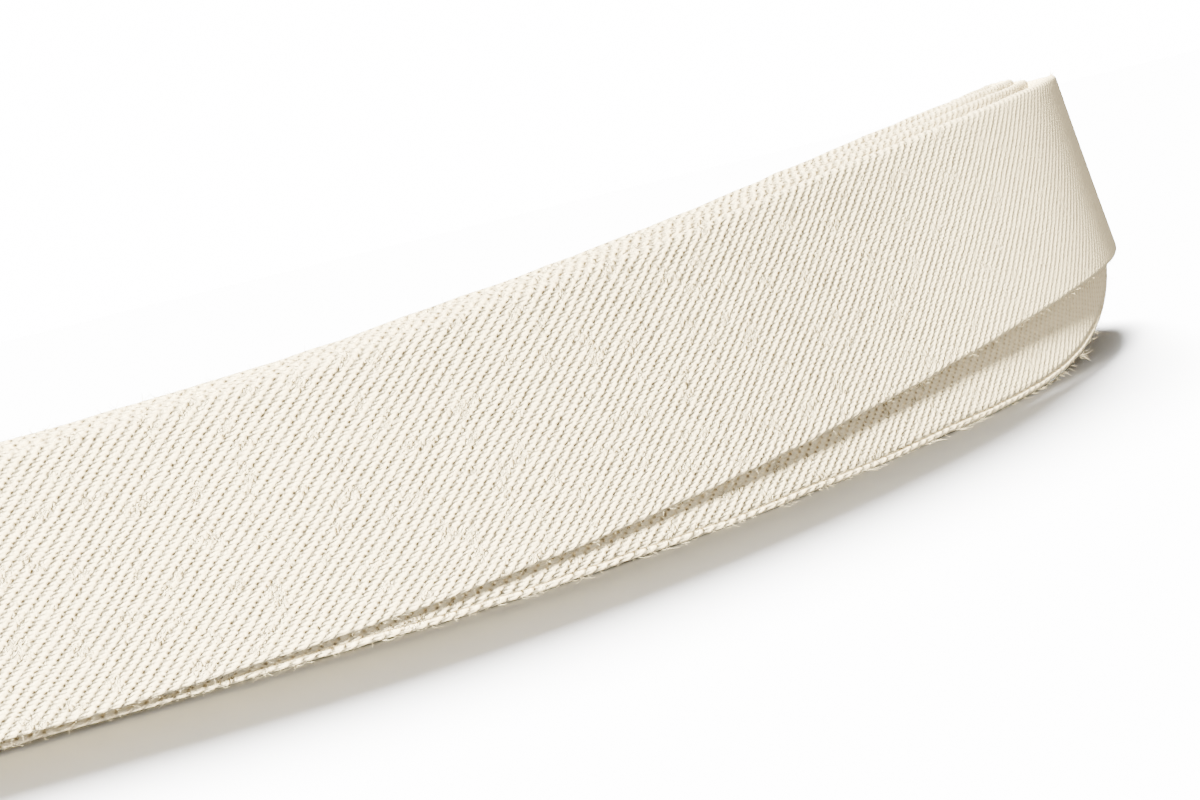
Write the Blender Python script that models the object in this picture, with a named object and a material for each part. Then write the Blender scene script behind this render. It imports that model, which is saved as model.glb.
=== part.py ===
"""Bias tape wound flat on itself into a long hank that stands on its edge.

One tape is wound four times round a long, flat centre line, and the hank
bends gently away towards one end. The turns are pressed together at the
other end. Towards the curved end they loosen and climb, each by its own
amount, so that only the second turn stands on the ground. Metres, +Z up.
"""

import bpy
import numpy as np

MM = 0.001

# The tape.
TAPE_WIDTH = 20.0
TAPE_THICKNESS = 1.0
EDGE_ROUND = 0.25

# The winding.
TURNS = 4
STATION_STEP = 4.0
BEND_STEPS = 8
TAIL_SETBACK = 9.0

# The centre line's heading, from +X towards +Y.
HEADING = (
    # along_mm, heading_deg
    (0.0, 0.0),
    (30.0, 0.5),
    (56.0, 15.5),
    (76.0, 26.0),
    (94.0, 31.0),
    (110.0, 39.0),
    (125.0, 56.5),
    (140.0, 78.0),
)
LINE_LENGTH = HEADING[-1][0]

# The turns, outermost first. A lift is the height of the lower edge, and a gap
# runs from the centre line to the middle of the cloth at that edge.
PRESSED = (
    # lift_mm, gap_mm
    (0.85, 5.35),
    (0.0, 4.0),
    (1.1, 2.65),
    (1.35, 1.3),
)
CURVED = (
    # lift_mm, front_gap_mm, back_gap_mm, lean_mm
    (8.9, 6.85, 6.9, 3.0),
    (0.0, 5.76, 5.5, 3.3),
    (9.4, 1.1, 4.1, 0.0),
    (9.8, -0.25, 2.7, 0.0),
)
LOOSE_FROM = 10.0
LOOSE_BY = 140.0

# How far each turn reaches before it bends back, and how much more it climbs by then.
ENDS = (
    # reach_mm, climb_mm
    (134.0, 0.0),
    (125.5, 7.2),
    (126.0, 0.0),
    (125.5, 0.0),
)
CLIMB_FROM = 94.0
# A back run moves to the next turn's height over this length, near the pressed end.
STEP_OVER = 36.0

# Unevenness of the wound cloth's upper edge.
WAVE_HEIGHT = 0.12
WAVE_LENGTH = 47.0

FABRIC = (0.80, 0.755, 0.66)
FABRIC_ROUGHNESS = 0.85


def clear_scene():
    for obj in list(bpy.data.objects):
        bpy.data.objects.remove(obj, do_unlink=True)


def smoothstep(value):
    t = min(max(value, 0.0), 1.0)
    return t * t * (3.0 - 2.0 * t)


def loosened(along):
    """0 where the turns are pressed together, 1 where they are loose."""
    return smoothstep((along - LOOSE_FROM) / (LOOSE_BY - LOOSE_FROM))


def blend(first, second, share):
    return first + (second - first) * share


def centre_line():
    """Lengths along the centre line, with its points and its headings in radians."""
    along = np.arange(0.0, LINE_LENGTH + 0.25, 0.5)
    table = np.array(HEADING)
    heading = np.radians(np.interp(along, table[:, 0], table[:, 1]))
    padded = np.pad(heading, 10, mode="edge")
    heading = np.convolve(padded, np.ones(21) / 21, mode="valid")
    middle = 0.5 * (heading[1:] + heading[:-1])
    x = np.concatenate([[0.0], np.cumsum(0.5 * np.cos(middle))])
    y = np.concatenate([[0.0], np.cumsum(0.5 * np.sin(middle))])
    return along, np.stack([x, y], axis=1), heading


def at(line, where):
    """The centre line's point and its outward direction, on the side the hank bulges to."""
    along, points, heading = line
    x = np.interp(where, along, points[:, 0])
    y = np.interp(where, along, points[:, 1])
    angle = float(np.interp(where, along, heading))
    return np.array([x, y]), np.array([np.sin(angle), -np.cos(angle)])


def height_of(turn, along):
    reach, climb = ENDS[turn]
    climbed = max(along - CLIMB_FROM, 0.0) / (reach - CLIMB_FROM)
    return blend(PRESSED[turn][0], CURVED[turn][0], loosened(along)) + climb * climbed**3


def lift(turn, along):
    """Height of the lower edge. A turn between two whole ones is a blend of both."""
    heights = [height_of(whole, along) for whole in range(TURNS)]
    return float(np.interp(turn, range(TURNS), heights))


def gap(turn, along, back):
    column = 2 if back else 1
    return blend(PRESSED[turn][1], CURVED[turn][column], loosened(along))


def lean(turn, along):
    return CURVED[turn][3] * loosened(along)


def run_stations(line, turn, back):
    """One long run of a turn. Front runs go along the hank, and back runs return."""
    first = TAIL_SETBACK if turn == TURNS - 1 and not back else 0.0
    first = TAIL_SETBACK if turn == 0 and back else first
    reach = ENDS[turn][0]
    lengths = np.linspace(first, reach, int(round(reach / STATION_STEP)))
    stations = []
    for along in lengths[::-1] if back else lengths:
        point, outward = at(line, along)
        share = smoothstep(1.0 - along / STEP_OVER) if back else 0.0
        mixed = blend(turn, max(turn - 1, 0), share)
        side = -outward if back else outward
        shift = outward * 0.0 if back else outward * lean(turn, along)
        centre = point + side * gap(turn, along, back)
        stations.append((centre, side, lift(mixed, along), shift))
    return stations


def bend_stations(line, along, front_gap, back_gap, height, slope):
    """A half turn round one end of the centre line: curved end if along > 0."""
    point, outward = at(line, along)
    forward = np.array([-outward[1], outward[0]]) * (1.0 if along > 0.0 else -1.0)
    middle = point + outward * (front_gap - back_gap) / 2
    radius = (front_gap + back_gap) / 2
    stations = []
    for step in range(1, BEND_STEPS):
        angle = np.pi * step / BEND_STEPS
        side = outward * np.cos(angle) + forward * np.sin(angle)
        shift = outward * slope * (1.0 - smoothstep(step / BEND_STEPS))
        stations.append((middle + side * radius, side, height, shift))
    return stations


def tape_stations(line):
    """The whole tape from its inner end to its outer one."""
    stations = []
    for turn in reversed(range(TURNS)):
        end = ENDS[turn][0]
        front, back = gap(turn, end, False), gap(turn, end, True)
        stations += run_stations(line, turn, back=False)
        stations += bend_stations(line, end, front, back, lift(turn, end), lean(turn, end))
        stations += run_stations(line, turn, back=True)
        if turn > 0:
            outer = gap(turn - 1, 0.0, False)
            height = lift(turn - 1, 0.0)
            loop = bend_stations(line, 0.0, outer, gap(turn, 0.0, True), height, 0.0)
            stations += loop[::-1]
    return stations


def section(length_along):
    """The tape's upright cross-section as (outward, up) pairs, with folded edges rounded."""
    half = TAPE_THICKNESS / 2
    top = TAPE_WIDTH + WAVE_HEIGHT * np.sin(2 * np.pi * length_along / WAVE_LENGTH)
    return (
        (half, EDGE_ROUND),
        (half, TAPE_WIDTH / 2),
        (half, top - EDGE_ROUND),
        (half - EDGE_ROUND, top),
        (EDGE_ROUND - half, top),
        (-half, top - EDGE_ROUND),
        (-half, TAPE_WIDTH / 2),
        (-half, EDGE_ROUND),
        (EDGE_ROUND - half, 0.0),
        (half - EDGE_ROUND, 0.0),
    )


def tape_mesh(stations):
    points = []
    length_along = 0.0
    previous = stations[0][0]
    for centre, side, height, shift in stations:
        length_along += float(np.linalg.norm(centre - previous))
        previous = centre
        for outward, up in section(length_along):
            spot = centre + side * outward - shift * (up / TAPE_WIDTH)
            points.append((spot[0], spot[1], height + up))
    ring = len(section(0.0))
    faces = [tuple(range(ring))]
    for index in range(len(stations) - 1):
        low = index * ring
        for corner in range(ring):
            after = (corner + 1) % ring
            faces.append((low + corner, low + ring + corner, low + ring + after, low + after))
    last = (len(stations) - 1) * ring
    faces.append(tuple(range(last, last + ring))[::-1])
    return np.array(points), faces


def centred(points):
    """The hank's box is centred over the origin and its lowest edge is on the ground."""
    low, high = points.min(axis=0), points.max(axis=0)
    return points - [(low[0] + high[0]) / 2, (low[1] + high[1]) / 2, low[2]]


def fabric_material():
    material = bpy.data.materials.new("natural_cotton")
    material.use_nodes = True
    shader = material.node_tree.nodes["Principled BSDF"]
    shader.inputs["Base Color"].default_value = (*FABRIC, 1.0)
    shader.inputs["Roughness"].default_value = FABRIC_ROUGHNESS
    return material


def build():
    clear_scene()
    hank = bpy.data.collections.new("bias_tape_hank")
    bpy.context.scene.collection.children.link(hank)
    points, faces = tape_mesh(tape_stations(centre_line()))
    mesh = bpy.data.meshes.new("bias_tape")
    mesh.from_pydata((centred(points) * MM).tolist(), [], faces)
    mesh.materials.append(fabric_material())
    mesh.update()
    tape = bpy.data.objects.new("bias_tape", mesh)
    hank.objects.link(tape)


build()
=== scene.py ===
"""Looks of the wound hank of bias tape: thin folded cotton tape with its weave and loose fibres.

The tape follows the same path as the CAD solid. Lengths are in millimetres until a mesh is
made. Texture coordinates run along and round the tape, also in millimetres.
"""

import bpy
import numpy as np
from mathutils import Matrix, Vector


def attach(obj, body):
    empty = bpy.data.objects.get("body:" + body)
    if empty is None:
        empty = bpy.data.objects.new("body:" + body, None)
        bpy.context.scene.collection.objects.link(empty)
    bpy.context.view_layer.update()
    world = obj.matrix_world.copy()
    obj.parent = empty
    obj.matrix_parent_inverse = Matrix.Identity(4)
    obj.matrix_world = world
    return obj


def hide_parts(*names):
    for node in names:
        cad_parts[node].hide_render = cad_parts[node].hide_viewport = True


MM = 0.001
SEED = 11

# The winding, as in the CAD solid. PRESSED and CURVED hold each turn's height and place at the
# pressed end and at the curved end, outermost turn first.
TAPE_WIDTH = 20.0
TURNS = 4
TAIL_SETBACK = 9.0
HEADING = np.array(
    [
        # along_mm, heading_deg
        (0.0, 0.0),
        (30.0, 0.5),
        (56.0, 15.5),
        (76.0, 26.0),
        (94.0, 31.0),
        (110.0, 39.0),
        (125.0, 56.5),
        (140.0, 78.0),
    ]
)
PRESSED = (
    # lift_mm, gap_mm
    (0.85, 5.35),
    (0.0, 4.0),
    (1.1, 2.65),
    (1.35, 1.3),
)
CURVED = (
    # lift_mm, front_gap_mm, back_gap_mm, lean_mm
    (8.9, 6.85, 6.9, 3.0),
    (0.0, 5.76, 5.5, 3.3),
    (9.4, 1.1, 4.1, 0.0),
    (9.8, -0.25, 2.7, 0.0),
)
LOOSE_FROM, LOOSE_BY = 10.0, 140.0
# How far each turn reaches before it bends back, and how much more it climbs by then.
ENDS = (
    # reach_mm, climb_mm
    (134.0, 0.0),
    (125.5, 7.2),
    (126.0, 0.0),
    (125.5, 0.0),
)
CLIMB_FROM = 94.0
# A back run moves to the next turn's height over this length, near the pressed end.
STEP_OVER = 36.0
# The middle of the solid's box, which the frame puts over the origin.
PLAN_CENTRE = (59.73387, 24.78539)

# The tape's mesh. The two outermost turns' front faces show best, so they have the finest steps.
HALF_THICKNESS = 0.46
FINE_TURNS = 2
FINE_STEP, MIDDLE_STEP, COARSE_STEP = 0.3, 1.0, 2.5
CURVED_BEND_STEPS, PRESSED_BEND_STEPS = 24, 12
EDGE_STEPS = 9
# The turn whose lower fold shows a line between its two layers of cloth.
LAYERED_TURN = 1
LAYER_STEP = np.array(
    [
        # up_mm, inset_mm
        (0.50, 0.0),
        (0.58, 0.24),
        (0.66, 0.24),
        (0.74, 0.0),
        (1.20, 0.0),
    ]
)
# Slow unevenness of the tape as heights, wave lengths along it and seeds.
LOWER_WAVES = ((0.10, 9.0, 3), (0.05, 2.3, 4))
UPPER_WAVES = ((0.12, 11.0, 5), (0.05, 2.9, 6))
BULGE_WAVES = ((0.10, 17.0, 7),)
RIB_END = 0.035
RIB_END_REACH = 0.5
GROUND = 0.02

# The weave.
RIB_PITCH = 0.70
HOLE_PITCH = 0.46
RIB_ANGLE = np.radians(41.5)
RIB_HEIGHT = 0.21
MEAN_RELIEF = 0.65
# Shares of one rib or pit step.
PIT_SLANT, PIT_ACROSS, PIT_ALONG = 0.22, 0.16, 0.23
# Shares of the rib's height, and of the pit's full colour. The pit colour is painted shade in the
# pinholes, and SHADED_SIDE darkens one flank of each rib as painted shade.
RIB_FULLNESS, BRIDGE, TWIST, SHADED_SIDE, PIT_SHADE_SHARE = 0.8, 0.38, 0.24, 0.20, 0.85
CROWN_COLOUR = (0.84, 0.773, 0.63, 1.0)
# The groove colour is painted shade: the grooves between ribs are coloured darker, as if in shadow.
GROOVE_SHADE_COLOUR = (0.66, 0.565, 0.40, 1.0)
# The pit colour is painted shade: a dark brown put in the pinholes, where there is only shadow.
PIT_SHADE_COLOUR = (0.15, 0.10, 0.05, 1.0)
# The relief is finest past these places along X, in metres.
CALM_FROM, CALM_BY, CALM_SHARE = 0.012, 0.052, 0.72

# The loose fibres.
FIBRE_STEPS = 6
FIBRE_RADIUS = 0.015
FIBRES = (
    # turn, on the lower edge, count, length_mm
    (0, True, 220, 0.8),
    (0, False, 520, 0.7),
    (1, True, 330, 1.4),
    (1, False, 160, 0.7),
    (2, False, 320, 0.8),
    (3, False, 320, 0.8),
)
FIBRE_ROOT = 0.06
FIBRE_GROUND = 0.05
FIBRE_TAPER = 0.6
FIBRE_TONE = (0.72, 0.64, 0.50, 1.0)

# The camera, in metres and degrees.
CAMERA_PLACE = (-0.01912, -0.14067, 0.02945)
CAMERA_PITCH, CAMERA_YAW, CAMERA_ROLL = 8.06, 7.76, 13.75
CAMERA_LENS, CAMERA_SENSOR = 45.31, 36.0

# The studio.
FLOOR_RADIUS, WALL_HEIGHT, WALL_SIDES = 3.0, 4.0, 64
FLOOR_COLOUR = (0.3, 0.3, 0.3)
WALL_COLOUR = (0.2, 0.2, 0.2)
WALL_GLOW = 16.0
WORLD_GLOW = 0.46
WORLD_COLOUR = (1.0, 0.95, 0.84, 1.0)
FLOOR_LIGHTS = (
    # name, direction, strength, angle_deg, colour
    ("back_light", (-0.20, -0.61, -0.77), 190.0, 26.0, (1.0, 1.0, 1.0)),
    ("top_light", (-0.1, -0.45, -0.89), 8.0, 45.0, (1.0, 1.0, 1.0)),
    ("shade_light", (0.0, 0.5, -0.85), 2.6, 60.0, (1.0, 0.93, 0.84)),
)
CLOTH_LIGHTS = (
    # name, direction, strength, angle_deg, colour
    ("key_light", (0.60, 0.66, -0.45), 50.0, 8.0, (1.0, 0.905, 0.62)),
    ("fill_light", (-0.35, 0.92, -0.15), 2.2, 90.0, (1.0, 0.87, 0.57)),
    ("rim_light", (0.2, -0.8, -0.6), 16.0, 60.0, (1.0, 0.92, 0.75)),
)


def smoothstep(value):
    t = min(max(value, 0.0), 1.0)
    return t * t * (3.0 - 2.0 * t)


def loosened(along):
    """0 where the turns are pressed together, 1 where they are loose."""
    return smoothstep((along - LOOSE_FROM) / (LOOSE_BY - LOOSE_FROM))


def blend(first, second, share):
    return first + (second - first) * share


def centre_line():
    """Lengths along the hank's centre line, with its points and its headings in radians."""
    along = np.arange(0.0, HEADING[-1, 0] + 0.25, 0.5)
    heading = np.radians(np.interp(along, HEADING[:, 0], HEADING[:, 1]))
    heading = np.convolve(np.pad(heading, 10, mode="edge"), np.ones(21) / 21, mode="valid")
    middle = 0.5 * (heading[1:] + heading[:-1])
    x = np.concatenate([[0.0], np.cumsum(0.5 * np.cos(middle))]) - PLAN_CENTRE[0]
    y = np.concatenate([[0.0], np.cumsum(0.5 * np.sin(middle))]) - PLAN_CENTRE[1]
    return along, np.stack([x, y], axis=1), heading


LINE = centre_line()


def at(where):
    """The centre line's point and its outward direction, on the side the hank bulges to."""
    along, points, heading = LINE
    x = np.interp(where, along, points[:, 0])
    y = np.interp(where, along, points[:, 1])
    angle = float(np.interp(where, along, heading))
    return np.array([x, y]), np.array([np.sin(angle), -np.cos(angle)])


def height_of(turn, along):
    reach, climb = ENDS[turn]
    climbed = max(along - CLIMB_FROM, 0.0) / (reach - CLIMB_FROM)
    return blend(PRESSED[turn][0], CURVED[turn][0], loosened(along)) + climb * climbed**3


def lift(turn, along):
    """Height of the lower edge. A turn between two whole ones is a blend of both."""
    heights = [height_of(whole, along) for whole in range(TURNS)]
    return float(np.interp(turn, range(TURNS), heights))


def gap(turn, along, back):
    return blend(PRESSED[turn][1], CURVED[turn][2 if back else 1], loosened(along))


def lean(turn, along):
    return CURVED[turn][3] * loosened(along)


def run_stations(turn, back, step):
    """A long run as stations: middle, side, height, lean, turn, whether it is a back run."""
    first = TAIL_SETBACK if (turn == TURNS - 1 and not back) or (turn == 0 and back) else 0.0
    reach = ENDS[turn][0]
    lengths = np.linspace(first, reach, int((reach - first) / step))
    stations = []
    for along in lengths[::-1] if back else lengths:
        point, outward = at(along)
        share = smoothstep(1.0 - along / STEP_OVER) if back else 0.0
        mixed = blend(turn, max(turn - 1, 0), share)
        side = -outward if back else outward
        shift = outward * 0.0 if back else outward * lean(turn, along)
        centre = point + side * gap(turn, along, back)
        stations.append((centre, side, lift(mixed, along), shift, turn, back))
    return stations


def bend_stations(along, front_gap, back_gap, height, slope, turn, steps):
    """A half turn round one end of the centre line: the curved end if along > 0."""
    point, outward = at(along)
    forward = np.array([-outward[1], outward[0]]) * (1.0 if along > 0.0 else -1.0)
    middle = point + outward * (front_gap - back_gap) / 2
    radius = (front_gap + back_gap) / 2
    stations = []
    for step in range(1, steps):
        share = step / steps
        side = outward * np.cos(np.pi * share) + forward * np.sin(np.pi * share)
        shift = outward * slope * (1.0 - smoothstep(share))
        stations.append((middle + side * radius, side, height, shift, turn, None))
    return stations


def tape_stations():
    """The whole tape from its inner end to its outer one."""
    stations = []
    for turn in reversed(range(TURNS)):
        end = ENDS[turn][0]
        step = FINE_STEP if turn < FINE_TURNS else MIDDLE_STEP
        front, back = gap(turn, end, False), gap(turn, end, True)
        height, slope = lift(turn, end), lean(turn, end)
        stations += run_stations(turn, False, step)
        stations += bend_stations(end, front, back, height, slope, turn, CURVED_BEND_STEPS)
        stations += run_stations(turn, True, COARSE_STEP)
        if turn > 0:
            front, back, height = gap(turn - 1, 0.0, False), gap(turn, 0.0, True), lift(turn - 1, 0.0)
            loop = bend_stations(0.0, front, back, height, 0.0, turn, PRESSED_BEND_STEPS)
            stations += loop[::-1]
    return stations


def ring_shape():
    """The closed cross-section: outward, up, length round it. It starts low on the back."""
    h = HALF_THICKNESS
    lower = np.linspace(-np.pi / 2, np.pi / 2, EDGE_STEPS)[:-1]
    upper = np.linspace(0.0, np.pi, EDGE_STEPS)[1:]
    points = [(h * np.sin(a), h * (1.0 - np.cos(a))) for a in lower]
    points += [(h, up) for up in (h, *LAYER_STEP[:, 0], *np.linspace(1.6, TAPE_WIDTH - h, 20))]
    points += [(h * np.cos(a), TAPE_WIDTH - h * (1.0 - np.sin(a))) for a in upper]
    points += [(-h, up) for up in np.linspace(TAPE_WIDTH - h, h, 9)[1:-1]]
    points = np.array(points)
    steps = np.linalg.norm(np.diff(np.vstack([points, points[:1]]), axis=0), axis=1)
    around = np.concatenate([[0.0], np.cumsum(steps)])
    around -= around[EDGE_STEPS - 1] - h
    return points, around


def uneven(values, length, seed):
    """Smooth deterministic noise of unit height along a length."""
    local = np.random.default_rng(seed)
    knots = int(values.max() / length) + 4
    heights = local.uniform(-1.0, 1.0, knots)
    place = values / length
    base = np.floor(place).astype(int)
    t = place - base
    t = t * t * (3 - 2 * t)
    return heights[base] * (1 - t) + heights[base + 1] * t


def waves(travelled, rows):
    return sum(size * uneven(travelled, length, seed) for size, length, seed in rows)


def tape_points(path, travelled, shape):
    """Every point of the tape, as one row of the cross-section's points for each station."""
    centre, side, height, shift, turn = path
    lower, upper = waves(travelled, LOWER_WAVES), waves(travelled, UPPER_WAVES)
    bulge = waves(travelled, BULGE_WAVES)
    layered = np.where(turn == LAYERED_TURN, 1.0, 0.0)
    rib_ends = np.sin(2 * np.pi * travelled * np.sin(RIB_ANGLE) / RIB_PITCH)
    points = np.zeros((len(centre), len(shape), 3))
    for index, (outward, up) in enumerate(shape):
        share = up / TAPE_WIDTH
        inset = np.interp(up, LAYER_STEP[:, 0], LAYER_STEP[:, 1], left=0.0) if outward > 0 else 0.0
        out = outward + bulge * np.sin(np.pi * share) - inset * layered
        # The rib ends stand a little proud along both folded edges, least along the lower one.
        from_edge = TAPE_WIDTH - up if share > 0.5 else 3.0 * up
        proud = RIB_END * max(0.0, 1.0 - from_edge / RIB_END_REACH) * (1 if share > 0.5 else -1)
        points[:, index, :2] = centre + side * out[:, None] - shift * share
        points[:, index, 2] = height + up + lower * (1 - share) + upper * share + proud * rib_ends
    return points


def fold_points(points, side, turn, front, shape):
    """Points with their sides along each front face's two folds, for the fibres to grow from."""
    lowest, highest = EDGE_STEPS // 2, int(np.argmax(shape[:, 1]))
    folds = {}
    for key in range(TURNS):
        chosen = np.flatnonzero((turn == key) & front)
        for low, index in ((True, lowest), (False, highest)):
            folds[(key, low)] = [(points[i, index].copy(), side[i]) for i in chosen]
    return folds


def weave_coordinates(mesh, travelled, around, corners):
    """Texture coordinates for the quads: length along the tape and length round it."""
    count, ring = corners
    s_low, s_high = (np.repeat(s[:, None], ring, axis=1) for s in (travelled[:-1], travelled[1:]))
    w_low, w_high = (np.broadcast_to(w, (count - 1, ring)) for w in (around[:-1], around[1:]))
    quad = ((s_low, w_low), (s_low, w_high), (s_high, w_high), (s_high, w_low))
    quads = np.stack([np.stack(corner, 2) for corner in quad], axis=2).reshape(-1, 2)
    coords = np.zeros((len(mesh.loops), 2), np.float32)
    coords[: len(quads)] = quads
    mesh.uv_layers.new(name="weave").data.foreach_set("uv", coords.ravel())


def tape_object():
    """The tape and the points along its folds."""
    stations = tape_stations()
    centre, side, height, shift, turn = (np.array([s[i] for s in stations]) for i in range(5))
    front = np.array([s[5] is False for s in stations])
    steps = np.linalg.norm(np.diff(centre, axis=0), axis=1)
    travelled = np.concatenate([[0.0], np.cumsum(steps)])
    shape, around = ring_shape()
    points = tape_points((centre, side, height, shift, turn), travelled, shape)
    folds = fold_points(points, side, turn, front, shape)
    resting = (turn == LAYERED_TURN) & (height < 1e-6)
    points[resting, :, 2] = np.maximum(points[resting, :, 2], GROUND)
    count, ring = points.shape[:2]
    low = np.arange(count - 1)[:, None] * ring
    corner = np.arange(ring)[None, :]
    after = (corner + 1) % ring
    quads = np.stack([low + corner, low + after, low + ring + after, low + ring + corner], axis=2)
    caps = [list(range(ring))[::-1], list(range((count - 1) * ring, count * ring))]
    mesh = bpy.data.meshes.new("tape")
    mesh.from_pydata((points.reshape(-1, 3) * MM).tolist(), [], quads.reshape(-1, 4).tolist() + caps)
    weave_coordinates(mesh, travelled, around, (count, ring))
    tape = bpy.data.objects.new("tape", mesh)
    bpy.context.scene.collection.objects.link(tape)
    mesh.shade_smooth()
    mesh.update()
    return tape, folds


def fibre_path(local, base, side, low, length):
    """A curling path from a fold, with its heading and the direction it curls towards."""
    along = np.array([-side[1], side[0], 0.0])
    out = np.array([side[0], side[1], 0.0])
    up = np.array([0.0, 0.0, -1.0 if low else 1.0])
    forward = local.uniform(0.3, 1.8) if low else local.uniform(0.0, 0.8)
    heading = local.normal(0, 0.9) * along + local.uniform(0.1, 0.9) * up + forward * out
    heading /= np.linalg.norm(heading)
    curl = np.cross(heading, local.normal(0, 1, 3))
    curl /= np.linalg.norm(curl) + 1e-9
    reach = length * local.uniform(0.35, 1.3)
    bend = local.normal(0, 1.9)
    spot, path = base - FIBRE_ROOT * up, []
    for step in range(FIBRE_STEPS + 1):
        path.append(spot)
        angle = bend * step / FIBRE_STEPS
        spot = spot + (np.cos(angle) * heading + np.sin(angle) * curl) * reach / FIBRE_STEPS
    path = np.array(path)
    path[:, 2] = np.maximum(path[:, 2], FIBRE_GROUND)
    return path, heading, curl


def add_fibre(points, faces, path, heading, curl):
    """A thin three-sided tube along the path, tapering to its tip."""
    first = len(points)
    across = np.cross(curl, heading)
    for step, spot in enumerate(path):
        radius = FIBRE_RADIUS * (1.0 - FIBRE_TAPER * step / FIBRE_STEPS)
        for turned in (0.0, 2.1, 4.2):
            points.append(spot + radius * (np.cos(turned) * curl + np.sin(turned) * across))
    for step in range(FIBRE_STEPS):
        ring = first + 3 * step
        for i in range(3):
            after = (i + 1) % 3
            faces.append((ring + i, ring + after, ring + 3 + after, ring + 3 + i))


def fibre_object(folds):
    """Short loose fibres that curl out of the folded edges."""
    local = np.random.default_rng(SEED)
    points, faces = [], []
    for turn, low, count, length in FIBRES:
        fold = folds[(turn, low)]
        for _ in range(count):
            base, side = fold[int(local.integers(2, len(fold) - 2))]
            add_fibre(points, faces, *fibre_path(local, base, side, low, length))
    mesh = bpy.data.meshes.new("edge_fibres")
    mesh.from_pydata((np.array(points) * MM).tolist(), [], faces)
    mesh.shade_smooth()
    fibres = bpy.data.objects.new("edge_fibres", mesh)
    bpy.context.scene.collection.objects.link(fibres)
    return fibres


class Nodes:
    """Short names for shader maths."""

    def __init__(self, tree):
        self.tree = tree

    def add(self, kind, **settings):
        node = self.tree.nodes.new(kind)
        for key, value in settings.items():
            setattr(node, key, value)
        return node

    def put(self, socket, value):
        if isinstance(value, bpy.types.NodeSocket):
            self.tree.links.new(value, socket)
        else:
            socket.default_value = value

    def math(self, operation, *values, clamp=False):
        node = self.add("ShaderNodeMath", operation=operation, use_clamp=clamp)
        for socket, value in zip(node.inputs, values):
            self.put(socket, value)
        return node.outputs[0]

    def mix(self, share, first, second):
        node = self.add("ShaderNodeMix", data_type="RGBA")
        self.put(node.inputs[0], share)
        self.put(node.inputs[6], first)
        self.put(node.inputs[7], second)
        return node.outputs[2]

    def noise(self, vector, scale, detail=2.0, rough=0.5):
        node = self.add("ShaderNodeTexNoise", noise_dimensions="3D")
        self.put(node.inputs["Vector"], vector)
        node.inputs["Scale"].default_value = scale
        node.inputs["Detail"].default_value = detail
        node.inputs["Roughness"].default_value = rough
        return node.outputs["Fac"]

    def wander(self, vector, scale, detail, size):
        """Noise about zero, size from end to end."""
        return self.math("MULTIPLY", self.math("SUBTRACT", self.noise(vector, scale, detail), 0.5), size)

    def total(self, first, *more):
        for value in more:
            first = self.math("ADD", first, value)
        return first

    def blend_value(self, share, low, high):
        return self.math("ADD", low, self.math("MULTIPLY", share, high - low))

    def wave(self, kind, cycles):
        return self.math(kind, self.math("MULTIPLY", cycles, 2 * np.pi))

    def turned(self, first, second, angle):
        """first and second as flat coordinates, along a direction at the angle."""
        along = self.math("MULTIPLY", first, float(np.cos(angle)))
        return self.math("ADD", along, self.math("MULTIPLY", second, float(np.sin(angle))))

    def steps(self, value, low, high):
        node = self.add("ShaderNodeMapRange", interpolation_type="SMOOTHSTEP")
        self.put(node.inputs[0], value)
        node.inputs[1].default_value = low
        node.inputs[2].default_value = high
        return node.outputs[0]


def pits(n, uv, g, t, groove):
    """1 in the middle of each slanted pit of a groove, falling to 0 round it."""
    # Neighbouring grooves have their pits half a step apart.
    half = n.math("MULTIPLY", n.math("MODULO", n.math("ABSOLUTE", groove), 2.0), 0.5)
    place = n.math("ADD", t, half)
    p = n.math("SUBTRACT", n.math("SUBTRACT", place, n.math("FLOOR", place)), 0.5)
    slanted = n.math("ADD", g, n.math("MULTIPLY", p, PIT_SLANT))
    far = n.math(
        "ADD",
        n.math("POWER", n.math("DIVIDE", n.math("ABSOLUTE", slanted), PIT_ACROSS), 2.0),
        n.math("POWER", n.math("DIVIDE", n.math("ABSOLUTE", p), PIT_ALONG), 2.0),
    )
    pit = n.math("EXPONENT", n.math("MULTIPLY", far, -1.0))
    return n.math("MULTIPLY", pit, n.blend_value(n.steps(n.noise(uv, 1.1, 3.0), 0.35, 0.6), 0.35, 1.0))


def relief_strength(n, w):
    """Less along the lower fold, where the cloth is pressed, and where the tape bends back."""
    where = n.add("ShaderNodeSeparateXYZ")
    n.put(where.inputs[0], n.add("ShaderNodeTexCoord").outputs["Object"])
    pressed = n.blend_value(n.steps(w, 0.0, 0.75), 0.35, 1.0)
    calm = n.math("MULTIPLY", n.steps(where.outputs[0], CALM_FROM, CALM_BY), CALM_SHARE)
    return n.math("MULTIPLY", pressed, n.math("SUBTRACT", 1.0, calm))


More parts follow.
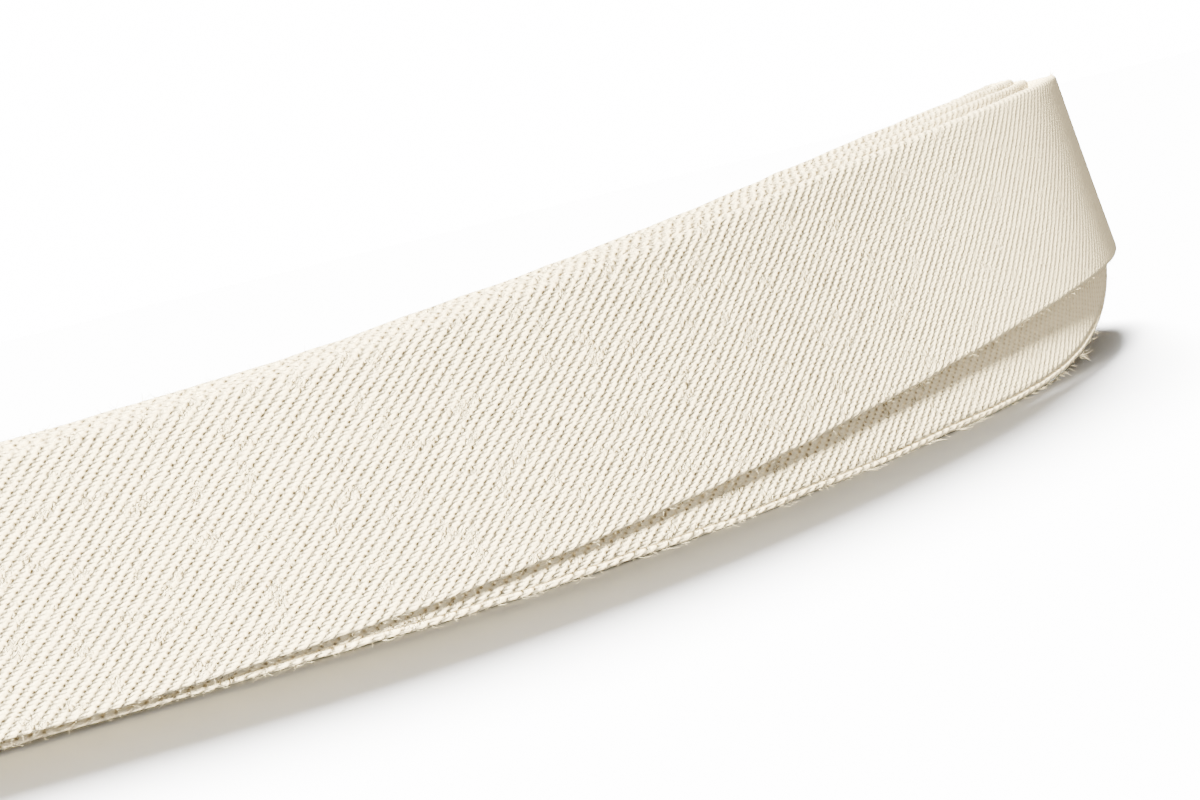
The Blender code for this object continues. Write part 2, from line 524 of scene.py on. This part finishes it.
def cloth_material():
    """Diagonal ribs of thread with slanted pits between them, in millimetres along and up the tape."""
    material = bpy.data.materials.new("natural_cotton_weave")
    material.use_nodes = True
    n = Nodes(material.node_tree)
    shader = material.node_tree.nodes["Principled BSDF"]
    uv = n.add("ShaderNodeUVMap", uv_map="weave").outputs[0]
    flat = n.add("ShaderNodeSeparateXYZ")
    n.put(flat.inputs[0], uv)
    s, w = flat.outputs[0], flat.outputs[1]
    # Threads wander a little everywhere, and much more in a few tangled patches.
    drift = n.wander(uv, 0.09, 2.0, 0.55)
    wobble = n.wander(uv, 0.9, 2.0, 0.22)
    tangled = n.steps(n.noise(uv, 0.55, 2.0), 0.54, 0.70)
    tangle = n.math("MULTIPLY", n.wander(uv, 3.0, 2.0, 1.3), tangled)
    stretch = n.wander(uv, 0.8, 2.0, 0.45)
    # q counts ribs across them, and t counts pits along them.
    across = n.total(n.turned(s, w, RIB_ANGLE + np.pi / 2), drift, wobble, tangle)
    q = n.math("DIVIDE", across, RIB_PITCH)
    t = n.math("DIVIDE", n.total(n.turned(s, w, RIB_ANGLE), stretch, tangle), HOLE_PITCH)
    # g is the place across one groove, from the middle of one rib to the middle of the next.
    groove = n.math("FLOOR", n.math("ADD", q, 0.5))
    g = n.math("SUBTRACT", q, groove)
    pit = pits(n, uv, g, t, groove)
    rib = n.math("SUBTRACT", 0.5, n.math("MULTIPLY", n.wave("COSINE", g), 0.5))
    rib = n.math("POWER", rib, RIB_FULLNESS)
    # Threads bridge each groove between its pits, and twist along each rib.
    bridge = n.math("MULTIPLY", n.math("SUBTRACT", 1.0, rib), BRIDGE)
    turn = n.wave("COSINE", n.math("ADD", t, n.math("MULTIPLY", q, 1.5)))
    twist = n.math("MULTIPLY", n.math("MULTIPLY", turn, rib), -TWIST)
    fibre = n.wander(uv, 6.0, 4.0, 0.55)
    slub = n.wander(uv, 1.8, 3.0, 0.9)
    surface = n.total(rib, bridge, twist, fibre, slub, n.math("MULTIPLY", pit, -1.0))
    relief = relief_strength(n, w)
    uneven_part = n.math("MULTIPLY", n.math("SUBTRACT", surface, MEAN_RELIEF), relief)
    surface = n.math("ADD", MEAN_RELIEF, uneven_part)
    bump = n.add("ShaderNodeBump")
    bump.inputs["Strength"].default_value = 1.0
    bump.inputs["Distance"].default_value = RIB_HEIGHT * MM
    n.put(bump.inputs["Height"], surface)
    n.put(shader.inputs["Normal"], bump.outputs[0])
    # Crowns keep the cloth's own colour. Grooves darken to a warmer painted shade, and pits darken to a
    # brown painted shade.
    # Painted shade: one flank of each rib is coloured darker than the other, as if turned from the light.
    shaded_side = n.math("MULTIPLY", n.wave("SINE", g), -SHADED_SIDE)
    unshaded_share = n.steps(n.math("ADD", surface, shaded_side), 0.0, 0.95)
    # Painted shade: pits are coloured dark brown, more where the relief is strong.
    pit_shade = n.math("MULTIPLY", n.math("MULTIPLY", pit, relief), PIT_SHADE_SHARE, clamp=True)
    n.put(shader.inputs["Base Color"], n.mix(pit_shade, n.mix(unshaded_share, GROOVE_SHADE_COLOUR, CROWN_COLOUR), PIT_SHADE_COLOUR))
    shader.inputs["Roughness"].default_value = 0.75
    shader.inputs["Specular IOR Level"].default_value = 0.35
    return material


def fibre_material():
    """Plain cotton in two close tones."""
    material = bpy.data.materials.new("loose_cotton_fibre")
    material.use_nodes = True
    n = Nodes(material.node_tree)
    shader = material.node_tree.nodes["Principled BSDF"]
    place = n.add("ShaderNodeTexCoord").outputs["Object"]
    tone = n.mix(n.steps(n.noise(place, 900.0, 2.0), 0.35, 0.65), FIBRE_TONE, CROWN_COLOUR)
    n.put(shader.inputs["Base Color"], tone)
    shader.inputs["Roughness"].default_value = 0.6
    return material


def look_along(location, pitch, yaw, roll):
    """A camera matrix from angles in degrees: down from level, from +Y towards +X, and leaning."""
    pitch, yaw, roll = np.radians([pitch, yaw, roll])
    forward = Vector((np.sin(yaw) * np.cos(pitch), np.cos(yaw) * np.cos(pitch), -np.sin(pitch)))
    right = Vector((np.cos(yaw), -np.sin(yaw), 0.0))
    up = right.cross(forward)
    right, up = right * np.cos(roll) - up * np.sin(roll), right * np.sin(roll) + up * np.cos(roll)
    turn = Matrix((right, up, -forward)).transposed().to_4x4()
    return Matrix.Translation(location) @ turn


def add_camera():
    data = bpy.data.cameras.new("camera")
    data.sensor_width = CAMERA_SENSOR
    data.lens = CAMERA_LENS
    data.clip_start = 0.005
    data.clip_end = 20.0
    camera = bpy.data.objects.new("camera", data)
    camera.matrix_world = look_along(CAMERA_PLACE, CAMERA_PITCH, CAMERA_YAW, CAMERA_ROLL)
    bpy.context.scene.collection.objects.link(camera)
    bpy.context.scene.camera = camera


def plain_material(name, colour, glow=0.0):
    material = bpy.data.materials.new(name)
    material.use_nodes = True
    shader = material.node_tree.nodes["Principled BSDF"]
    shader.inputs["Base Color"].default_value = (*colour, 1.0)
    shader.inputs["Roughness"].default_value = 1.0
    shader.inputs["Specular IOR Level"].default_value = 0.0
    if glow:
        shader.inputs["Emission Color"].default_value = (1.0, 1.0, 1.0, 1.0)
        shader.inputs["Emission Strength"].default_value = glow
    return material


def add_stage():
    """A plain floor and a plain wall all round it. Neither throws light on the cloth."""
    count = WALL_SIDES
    turns = 2 * np.pi * np.arange(count) / count
    circle = [(FLOOR_RADIUS * np.cos(t), FLOOR_RADIUS * np.sin(t)) for t in turns]
    round_points = [(x, y, z) for z in (0.0, WALL_HEIGHT) for x, y in circle]
    sides = [(i, (i + 1) % count) for i in range(count)]
    pieces = (
        ("floor", [tuple(range(count))], plain_material("floor", FLOOR_COLOUR)),
        (
            "wall",
            [(b, a, a + count, b + count) for a, b in sides],
            plain_material("wall", WALL_COLOUR, WALL_GLOW),
        ),
    )
    stage = []
    for name, faces, material in pieces:
        mesh = bpy.data.meshes.new(name)
        mesh.from_pydata(round_points, [], faces)
        mesh.materials.append(material)
        piece = bpy.data.objects.new(name, mesh)
        piece.visible_diffuse = False
        piece.visible_glossy = False
        piece.visible_shadow = False
        bpy.context.scene.collection.objects.link(piece)
        stage.append(piece)
    return stage


def add_light(name, direction, strength, angle, colour, lit):
    """A soft far light that travels along the direction and falls on the lit objects only."""
    data = bpy.data.lights.new(name, "SUN")
    data.energy = strength
    data.angle = np.radians(angle)
    data.color = colour
    light = bpy.data.objects.new(name, data)
    light.rotation_euler = Vector(direction).to_track_quat("-Z", "Y").to_euler()
    bpy.context.scene.collection.objects.link(light)
    receivers = bpy.data.collections.new(name + "_falls_on")
    for piece in lit:
        receivers.objects.link(piece)
    light.light_linking.receiver_collection = receivers


def add_lights(cloth, stage):
    """Suns for the cloth and for the floor, and a faint even glow from all round."""
    for name, direction, strength, angle, colour in FLOOR_LIGHTS:
        add_light(name, direction, strength, angle, colour, stage)
    for name, direction, strength, angle, colour in CLOTH_LIGHTS:
        add_light(name, direction, strength, angle, colour, cloth)
    world = bpy.data.worlds.new("world")
    world.use_nodes = True
    background = world.node_tree.nodes["Background"]
    background.inputs[0].default_value = WORLD_COLOUR
    background.inputs[1].default_value = WORLD_GLOW
    bpy.context.scene.world = world


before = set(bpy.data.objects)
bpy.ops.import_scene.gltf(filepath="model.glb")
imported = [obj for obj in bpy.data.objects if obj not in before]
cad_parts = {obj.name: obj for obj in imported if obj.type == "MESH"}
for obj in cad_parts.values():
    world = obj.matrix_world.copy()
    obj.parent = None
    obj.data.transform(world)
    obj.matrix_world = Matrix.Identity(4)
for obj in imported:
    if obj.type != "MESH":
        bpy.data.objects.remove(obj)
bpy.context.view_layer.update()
tape, folds = tape_object()
tape.data.materials.append(cloth_material())
fibres = fibre_object(folds)
fibres.data.materials.append(fibre_material())
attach(tape, "root")
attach(fibres, "root")
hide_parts("bias_tape")
add_camera()
add_lights([tape, fibres], add_stage())
bpy.context.view_layer.update()
